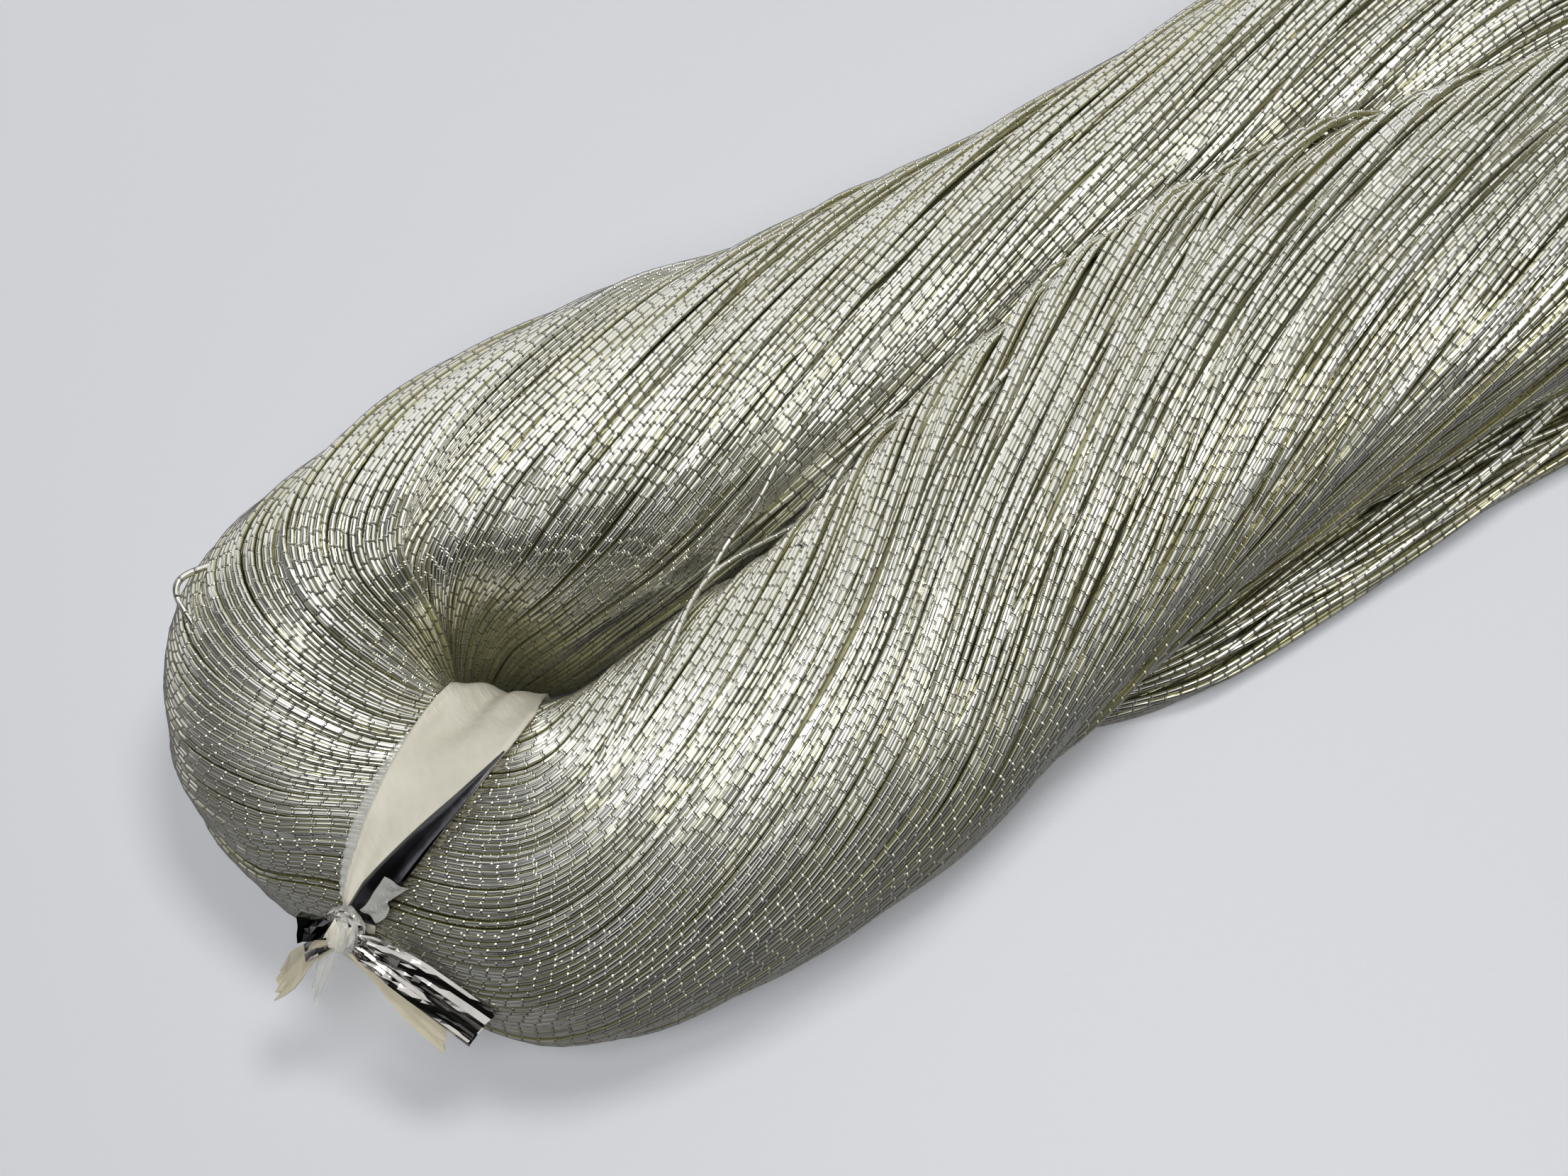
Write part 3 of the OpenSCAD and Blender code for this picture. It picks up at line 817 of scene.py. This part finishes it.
def paper_band():
    """Paper strip round the pinch: pleated at the knot, dented where it turns over the rim."""
    lift, knot_reach, rim_angle, rim_reach, crease_angle, crease_reach = 0.38, 26, 142, 18, 118, 14
    rim_dents = ((0.30, 0.09, 0.55), (0.45, 0.06, -0.25), (0.70, 0.12, 0.35))

    def wrinkles(angle, across):
        gathers = 0.14 * hump(angle, KNOT_ANGLE, knot_reach) * triangle_wave(3.0 * across + 0.1)
        dents = sum(height * hump(across, middle, width) for middle, width, height in rim_dents)
        dents = hump(angle, rim_angle, rim_reach) * dents
        crease = 0.10 * hump(angle, crease_angle, crease_reach) * triangle_wave(2.2 * across + angle / 60)
        waves = 0.04 * np.sin(angle / 9 + 5 * across) + 0.03 * np.sin(angle / 4.1 - 7 * across)
        return lift + gathers + dents + crease + waves

    points = tie_sheet(np.arange(22, 379, 2.0), 19, band_edges, wrinkles)
    piece = sheet_piece("paper_band_strip", points, PAPER_T, "hank", PAPER)
    stand_for("paper_band")


def foil_fold():
    """Foil face of the strip, folded back over one edge and widest at the knot."""
    overlap, least_width, added_width, last_angle, fade, bow_fade = 0.05, 0.06, 1.5, 114, 75, 60
    lift, bow_height, ripple = 0.58, 0.22, 0.02

    def edges(angle):
        near = band_edges(angle)[0] - overlap
        return near, near + least_width + added_width * np.clip((last_angle - angle) / fade, 0, 1)

    def bow(angle, across):
        bulge = bow_height * np.sin(np.pi * across) * np.clip((last_angle - angle) / bow_fade, 0, 1)
        return lift + bulge + ripple * np.sin(angle / 5)

    points = tie_sheet(np.arange(27, last_angle + 0.5, 1.5), 9, edges, bow)
    # The fold's foil is painted near-black, a painted dark reflection.
    piece = sheet_piece("foil_fold_strip", points, FILM_T, "hank", FOIL_PAINTED_DARK)
    stand_for("foil_fold")


def film_selvage():
    """Clear ribbed edge of the strip, on the side away from the foil."""
    first_angle, reach, overlap, width, rib_pitch = 26, 82, 0.15, 0.75, 3.6
    lift, rib_height, rise = 0.26, 0.09, 0.05

    def edges(angle):
        near = band_edges(angle)[1] - overlap
        swell = np.sin(np.pi * np.clip((angle - first_angle) / reach, 0, 1)) ** 0.6
        return near, near + overlap + width * swell

    def ribs(angle, across):
        return lift + rib_height * np.sin(2 * np.pi * angle / rib_pitch) * across + rise * across

    points = tie_sheet(np.arange(first_angle + 1, first_angle + reach - 0.5, 0.6), 6, edges, ribs)
    piece = sheet_piece("film_selvage_strip", points, FILM_T, "hank", FILM)
    stand_for("film_selvage")


KNOT_D = 2.6
KNOT_LIFT = 0.65
ROOT_GAP = 0.2
knot_middle = tie_point(np.array(KNOT_ANGLE), np.array(KNOT_SIDE), KNOT_LIFT + KNOT_D / 2)


def heading_vectors(heading, bank):
    """Ahead, side and face directions of a strip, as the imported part's strips have them."""
    h, b = math.radians(heading), math.radians(bank)
    ahead = np.array([math.cos(h), math.sin(h), 0.0])
    flat = np.array([-math.sin(h), math.cos(h), 0.0])
    up = np.array([0.0, 0.0, 1.0])
    return ahead, math.cos(b) * flat + math.sin(b) * up, math.cos(b) * up - math.sin(b) * flat


def crumpled_strip(name, body, material, start, heading, bank, drop, length, width, pleats, depth, seed,
                   thickness=STRIP_T, slant=0.0, gather=0.5, steps=16, columns=13, crinkle=0.0, ragged=0.0):
    """Strip gathered into lengthwise pleats at the knot, that opens and droops along its length."""
    opening_rate, flattening, fine_share, fine_pleats, knot_fade, droop_power = 2.2, 0.4, 0.4, 2.3, 1.6, 1.3
    pick = np.random.default_rng(seed)
    ahead, side, face = heading_vectors(heading, bank)
    t, across = np.meshgrid(np.linspace(0, 1, steps), np.linspace(-0.5, 0.5, columns), indexing="ij")
    run = t * length * (1 + slant * across * t)
    opened = gather + (1 - gather) * np.minimum(1, opening_rate * t)
    spread = width * opened * (1 + ragged * np.sin(9 * t + seed))
    lean = pick.uniform(-0.5, 0.5)
    height = depth * (1 - flattening * t) * triangle_wave(pleats * across + lean * t + pick.random())
    fine_fold = triangle_wave(fine_pleats * pleats * across - 1.3 * lean * t + pick.random())
    height += fine_share * depth * fine_fold
    near_knot = crinkle * np.clip(1 - knot_fade * t, 0, 1)
    height += near_knot * triangle_wave(5.0 * t + 1.5 * across + pick.random())
    height += (near_knot * 0.5 + ragged * 0.12) * pick.normal(0, 1, t.shape)
    torn_end = ragged * 0.8 * (t > 0.98)
    run = run + torn_end * pick.normal(0, 1, t.shape)
    points = np.asarray(start) + ahead * run[..., None] + side * (spread * across)[..., None]
    points = points + face * height[..., None] - np.array([0, 0, 1.0]) * (drop * t**droop_power)[..., None]
    return sheet_piece(name, points, thickness, body, material, smooth=False)


def knot_wrap(name, turn, tilt, start, end, radius, width, seed, material):
    """Band of the strip that goes part of the way round the knot, gathered into pleats."""
    fold_height, fold_count, edge_droop, crumple, angle_step = 0.13, 2.4, 0.9, 0.03, 14.0
    pick = np.random.default_rng(seed)
    angles = np.radians(np.arange(start, end, angle_step))
    around, across = np.meshgrid(angles, np.linspace(-0.5, 0.5, 9), indexing="ij")
    folds = fold_height * triangle_wave(fold_count * across + 0.25 * np.sin(2 * around) + pick.random())
    reach = radius * (1 - edge_droop * across**2) + folds + crumple * pick.normal(0, 1, around.shape)
    local = np.stack([reach * np.cos(around), width * across, reach * np.sin(around)], -1)
    spin = np.array(Matrix.Rotation(math.radians(turn), 3, "Z") @ Matrix.Rotation(math.radians(tilt), 3, "X"))
    return sheet_piece(name, knot_middle + local @ spin.T, STRIP_T, "hank", material, smooth=False)


def knot_core():
    """Tight crumple at the middle of the knot."""
    radius, crumple, top_latitude = 0.95, 0.09, 80
    pick = np.random.default_rng(5)
    latitudes = np.radians(np.linspace(-top_latitude, top_latitude, 9))
    lat, lon = np.meshgrid(latitudes, np.radians(np.arange(0, 360, 30.0)), indexing="ij")
    out = np.stack([np.cos(lat) * np.cos(lon), np.cos(lat) * np.sin(lon), np.sin(lat)], -1)
    points = knot_middle + out * (radius + crumple * pick.normal(0, 1, lat.shape))[..., None]
    rows, cols = lat.shape
    caps = [list(range(cols - 1, -1, -1)), list(range((rows - 1) * cols, rows * cols))]
    quads = ring_quads(rows, cols, closed=False)
    piece = build_mesh("knot_core", place(points.reshape(-1, 3)), quads, smooth=False, extra=caps)
    piece.data.materials.append(PAPER)
    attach(piece, "hank")
    stand_for("knot")


def tail_root(heading):
    """Where a tail leaves the knot."""
    return knot_middle + (KNOT_D / 2 + ROOT_GAP) * heading_vectors(heading, 0)[0]


def knot():
    """The strip's overhand knot: paper, foil and film round a tight middle, and a torn film flap."""
    knot_core()
    for name, turn, tilt, start, end, radius, width, seed, material, slot in (
            ("knot_paper_wrap", 35, 20, -60, 205, 1.15, 1.5, 11, PAPER, "tie_paper"),
            ("knot_foil_wrap", -50, -25, -50, 190, 1.22, 1.1, 12, FOIL, "tie_foil"),
            ("knot_film_wrap", 80, 35, -40, 200, 1.28, 1.6, 13, FILM, "tie_film")):
        knot_wrap(name, turn, tilt, start, end, radius, width, seed, material)

    def edges(angle):
        near = np.interp(angle, [29, 34, 40, 47, 50], [-2.9, -3.3, -3.1, -3.6, -3.2])
        return near, np.interp(angle, [27, 34, 52], [-1.9, -2.3, -2.5])

    def ruffle(angle, across):
        return 0.95 + 0.30 * triangle_wave(angle / 9 + across) * (1 - across) + 0.05 * np.sin(angle)

    points = tie_sheet(np.arange(31, 47, 1.4), 8, edges, ruffle)
    flap = sheet_piece("torn_film_flap", points, FILM_T, "hank", FILM, smooth=False)


LONG_HEADING, LONG_BANK, LONG_DROP = -62.0, 35.0, 2.7
SHORT_HEADING = 150.0


def long_tail():
    """Foil, its folded-under lining and the paper, laid side by side on one body."""
    ahead, side, face = heading_vectors(LONG_HEADING, LONG_BANK)
    start = tail_root(LONG_HEADING) - 0.8 * ahead
    foil = crumpled_strip("long_tail_foil_strip", "long_tail", FOIL, start - 0.2 * side, LONG_HEADING,
                          LONG_BANK, LONG_DROP, length=8.6, width=2.4, pleats=1.2, depth=0.30, seed=31,
                          slant=0.1, crinkle=0.2, steps=18, columns=15)
    stand_for("long_tail_foil")
    lining = crumpled_strip("long_tail_foil_lining", "long_tail", FOIL, start - 0.3 * side - 0.3 * face,
                            LONG_HEADING - 1, LONG_BANK, LONG_DROP + 0.15, length=8.5, width=2.3,
                            pleats=1.4, depth=0.22, seed=37, slant=0.05)
    paper = crumpled_strip("long_tail_paper_strip", "long_tail", WORN_PAPER, start - 0.8 * side - 0.62 * face,
                           LONG_HEADING - 9, LONG_BANK, LONG_DROP + 0.3, length=6.9, width=1.9,
                           pleats=1.2, depth=0.10, seed=33, thickness=0.1, slant=-0.1, ragged=0.08)
    stand_for("long_tail_paper")


def foil_stub(start, length, width, height):
    """Foil end folded flat into a short box, open at its outer end."""
    crumple, root_width, root_height = 0.035, 0.7, 0.6
    ahead, side, face = heading_vectors(SHORT_HEADING - 4, -38)
    pick = np.random.default_rng(41)
    corners = np.array([(-0.5, -0.5), (-0.5, 0.5), (-0.16, 0.54), (0.18, 0.5), (0.5, 0.46),
                        (0.52, 0.0), (0.5, -0.5), (0.1, -0.62), (-0.3, -0.45)])
    points = np.array([start + ahead * length * t
                       + corners[:, :1] * side * width * (root_width + (1 - root_width) * t)
                       + corners[:, 1:] * face * height * (root_height + (1 - root_height) * t)
                       for t in np.linspace(0, 1, 6)])
    points += crumple * pick.normal(0, 1, points.shape)
    # The stub's foil is painted near-black, a painted dark reflection.
    return sheet_piece("short_tail_foil_strip", points, FILM_T, "short_tail", FOIL_PAINTED_DARK, smooth=False)


def short_tail():
    """Folded foil end, a foil curl and scraps of paper and film, on one body."""
    start = tail_root(SHORT_HEADING) - 0.9 * heading_vectors(SHORT_HEADING, 0)[0]
    foil = foil_stub(start + [0, 0, 0.25], length=1.9, width=1.5, height=1.1)
    stand_for("short_tail_foil")
    curl = crumpled_strip("short_tail_foil_curl", "short_tail", FOIL, start + [0, -0.5, -0.55],
                          SHORT_HEADING + 12, 25, 0.8, length=2.0, width=1.3, pleats=1.2, depth=0.25,
                          seed=43, gather=0.8, steps=6, columns=9, crinkle=0.1)
    paper = crumpled_strip("short_tail_paper_strip", "short_tail", WORN_PAPER, start + [0, 0, -0.5],
                           SHORT_HEADING + 25, -10, 3.4, length=3.9, width=1.7, pleats=0.9, depth=0.12,
                           seed=45, thickness=0.1, slant=0.3, gather=0.7, steps=9, columns=8, ragged=0.22)
    stand_for("short_tail_paper")
    film = crumpled_strip("short_tail_film_strip", "short_tail", FILM, start + [0.2, -0.2, -0.9],
                          SHORT_HEADING + 50, 5, 3.6, length=2.9, width=1.2, pleats=1.1, depth=0.14,
                          seed=47, slant=0.3, gather=0.8, steps=8, columns=8, ragged=0.15)
    stand_for("short_tail_film")


hank_threads()
stray_threads()
loose_loop()
side_bundle()
paper_band()
foil_fold()
film_selvage()
knot()
long_tail()
short_tail()

# ---------------- stage, light and camera

VIEW_CENTRE = Vector(place([17.0, 0.0, 8.0]))


def make_floor():
    """Pale table, dimmer where the foil mirrors it, like a table in the photographer's shade."""
    half_side = 3.0
    material, tree, bsdf = new_material("table_top")
    grain = object_noise(tree, scale=1800.0, detail=2.0)
    patches = object_noise(tree, scale=6.0)
    tone = colour_mix(tree, patches, (0.78, 0.795, 0.84), (0.82, 0.835, 0.875))
    mirrored = tree.nodes.new("ShaderNodeLightPath").outputs["Is Glossy Ray"]
    tone = colour_mix(tree, mirrored, tone, (0.16, 0.16, 0.16))
    tree.links.new(tone, bsdf.inputs["Base Color"])
    set_inputs(bsdf, Roughness=0.45)
    bump(tree, bsdf, grain, distance=0.03 * MM, strength=0.5)
    corners = [(x * half_side, y * half_side, 0) for x, y in ((-1, -1), (1, -1), (1, 1), (-1, 1))]
    floor = build_mesh("floor", np.array(corners), np.array([[0, 1, 2, 3]]))
    floor.data.materials.append(material)


def aim_at_view(light):
    light.rotation_euler = (VIEW_CENTRE - light.location).to_track_quat("-Z", "Y").to_euler()


def soft_lamp(azimuth, elevation, distance, size, power):
    """Square lamp that the foil mirrors, aimed at the hank."""
    data = bpy.data.lights.new("lamp", "AREA")
    data.size = size
    data.energy = power
    lamp = add_object("lamp", data)
    lamp.location = VIEW_CENTRE + distance * room_direction(azimuth, elevation)
    aim_at_view(lamp)


def table_light(azimuth, elevation, softness, irradiance):
    """Even soft daylight that lights the table and the paper, and that the foil does not mirror."""
    data = bpy.data.lights.new("table_light", "SUN")
    data.energy = irradiance
    data.angle = math.radians(softness)
    sun = add_object("table_light", data)
    sun.location = VIEW_CENTRE + room_direction(azimuth, elevation)
    aim_at_view(sun)
    sun.visible_glossy = False


CAMERA_TURN = math.radians(31.5)
CAMERA_TILT = math.radians(60)
CAMERA_DISTANCE = 0.165
FRAME_WIDTH = 0.0995
SENSOR_WIDTH = 36
CLIP_START = 0.005
right = Vector((math.cos(CAMERA_TURN), -math.sin(CAMERA_TURN), 0))
away = Vector((math.sin(CAMERA_TURN), math.cos(CAMERA_TURN), 0))


def make_camera():
    """Camera above and in front of the tied end, looking down at CAMERA_TILT degrees."""
    data = bpy.data.cameras.new("camera")
    data.sensor_width = SENSOR_WIDTH
    data.lens = SENSOR_WIDTH * CAMERA_DISTANCE / FRAME_WIDTH
    data.clip_start = CLIP_START
    camera = add_object("camera", data)
    forward = away * math.cos(CAMERA_TILT) + Vector((0, 0, -math.sin(CAMERA_TILT)))
    up = right.cross(forward)
    seat = VIEW_CENTRE - forward * CAMERA_DISTANCE
    turned = Matrix((right, up, -forward)).transposed()
    camera.matrix_world = Matrix.Translation(seat) @ turned.to_4x4()
    bpy.context.scene.camera = camera


def room_direction(azimuth, elevation):
    """Direction in the room: azimuth 0 is away from the camera and 90 to its right."""
    turn, rise = math.radians(azimuth), math.radians(elevation)
    return math.cos(rise) * (math.cos(turn) * away + math.sin(turn) * right) + Vector((0, 0, math.sin(rise)))


def make_world():
    """The room the foil mirrors: bright overhead on the right and low down behind, dark at the camera."""
    dim_room = 0.25
    world = bpy.data.worlds.new("studio")
    world.use_nodes = True
    bpy.context.scene.world = world
    tree = world.node_tree
    background = tree.nodes["Background"]
    seen = tree.nodes.new("ShaderNodeTexCoord")

    def lobe(azimuth, elevation, full, gone, strength):
        """Round patch of light: full strength inside one radius in degrees, none outside the other."""
        dot = tree.nodes.new("ShaderNodeVectorMath")
        dot.operation = "DOT_PRODUCT"
        dot.inputs[1].default_value = room_direction(azimuth, elevation)
        tree.links.new(seen.outputs["Generated"], dot.inputs[0])
        fade = tree.nodes.new("ShaderNodeMapRange")
        fade.interpolation_type = "SMOOTHSTEP"
        fade.inputs["From Min"].default_value = math.cos(math.radians(gone))
        fade.inputs["From Max"].default_value = math.cos(math.radians(full))
        fade.inputs["To Max"].default_value = strength
        tree.links.new(dot.outputs["Value"], fade.inputs["Value"])
        return fade.outputs[0]

    overhead = lobe(115, 80, full=32, gone=52, strength=1.0)
    behind = lobe(-12, 12, full=40, gone=78, strength=0.60)
    photographer = math_node(tree, "ADD", lobe(171, 19, full=38, gone=49, strength=-0.97), 1.0)
    arm = math_node(tree, "ADD", lobe(-82, 46, full=24, gone=42, strength=-0.85), 1.0)
    room = math_node(tree, "ADD", math_node(tree, "ADD", overhead, behind), dim_room)
    total = math_node(tree, "MULTIPLY", math_node(tree, "MULTIPLY", room, photographer), arm)
    tree.links.new(colour_mix(tree, total, (0, 0, 0), (0.98, 0.99, 1.0)), background.inputs[0])
    background.inputs[1].default_value = 1.0
    world.cycles_visibility.diffuse = False


bpy.context.scene.view_settings.view_transform = "Standard"
make_floor()
make_camera()
make_world()
soft_lamp(60, 76, distance=0.6, size=0.16, power=1.0)
table_light(-165, 60, softness=36, irradiance=1.85)
